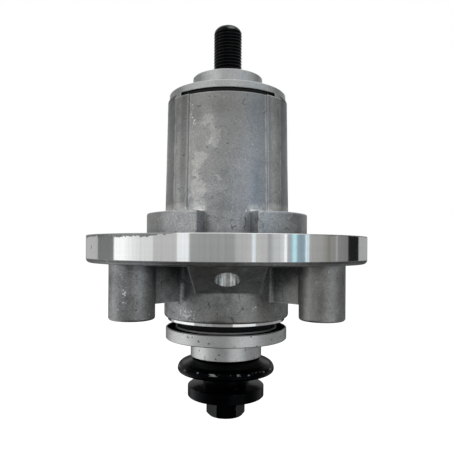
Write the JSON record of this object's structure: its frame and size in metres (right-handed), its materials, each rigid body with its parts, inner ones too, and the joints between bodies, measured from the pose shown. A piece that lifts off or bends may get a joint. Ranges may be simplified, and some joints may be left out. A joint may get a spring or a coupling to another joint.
{
  "type": "mower deck spindle",
  "caption": "Round-flanged cast spindle housing with a ribbed tube, bolt bosses and gussets, and a shaft on sealed bearings with a threaded stud and a blade bolt.",
  "frame": {"origin": "centre of the round flange's top face, on the spindle axis", "axes": "+Z along the spindle towards the pulley stud, -Y to the front of the picture, +X to its right"},
  "size_m": [0.1546, 0.1546, 0.22],
  "materials": {
    "cast_aluminium": "die cast, slightly rough",
    "shaft_steel": "plated, satin",
    "turned_steel": "turned, satin",
    "bearing_steel": "ground",
    "cage_steel": "pressed",
    "shield_rubber": "moulded, matt",
    "seal_rubber": "moulded, matt",
    "black_steel": "black, glossy"
  },
  "bodies": {
    "housing": {"housing": "cast_aluminium", "upper_bearing_outer_ring": "bearing_steel", "upper_bearing_top_shield": "shield_rubber", "upper_bearing_bottom_shield": "shield_rubber", "lower_bearing_outer_ring": "bearing_steel", "lower_bearing_top_shield": "shield_rubber", "lower_bearing_bottom_shield": "shield_rubber"},
    "spindle": {"spindle_shaft": "shaft_steel", "distance_sleeve": "turned_steel", "top_spacer": "turned_steel", "upper_dust_seal": "seal_rubber", "bottom_spacer": "turned_steel", "lower_dust_seal": "seal_rubber", "upper_bearing_inner_ring": "bearing_steel", "lower_bearing_inner_ring": "bearing_steel", "cup_washer": "black_steel", "blade_washer": "black_steel", "blade_bolt": "black_steel"},
    "upper_ball_set": {"upper_bearing_balls": "bearing_steel", "upper_bearing_cage": "cage_steel"},
    "lower_ball_set": {"lower_bearing_balls": "bearing_steel", "lower_bearing_cage": "cage_steel"}
  },
  "joints": [
    {"name": "spindle_spin", "type": "hinge", "parent": "housing", "child": "spindle", "pos_m": [0, 0, 0], "axis": [0, 0, 1], "continuous": true},
    {"name": "upper_ball_orbit", "type": "hinge", "parent": "housing", "child": "upper_ball_set", "pos_m": [0, 0, 0.06325], "axis": [0, 0, 1], "continuous": true},
    {"name": "lower_ball_orbit", "type": "hinge", "parent": "housing", "child": "lower_ball_set", "pos_m": [0, 0, -0.0365], "axis": [0, 0, 1], "continuous": true}
  ],
  "couplings": [
    {"joint": "upper_ball_orbit", "follows": "spindle_spin", "ratio": 0.4039},
    {"joint": "lower_ball_orbit", "follows": "spindle_spin", "ratio": 0.4039}
  ]
}
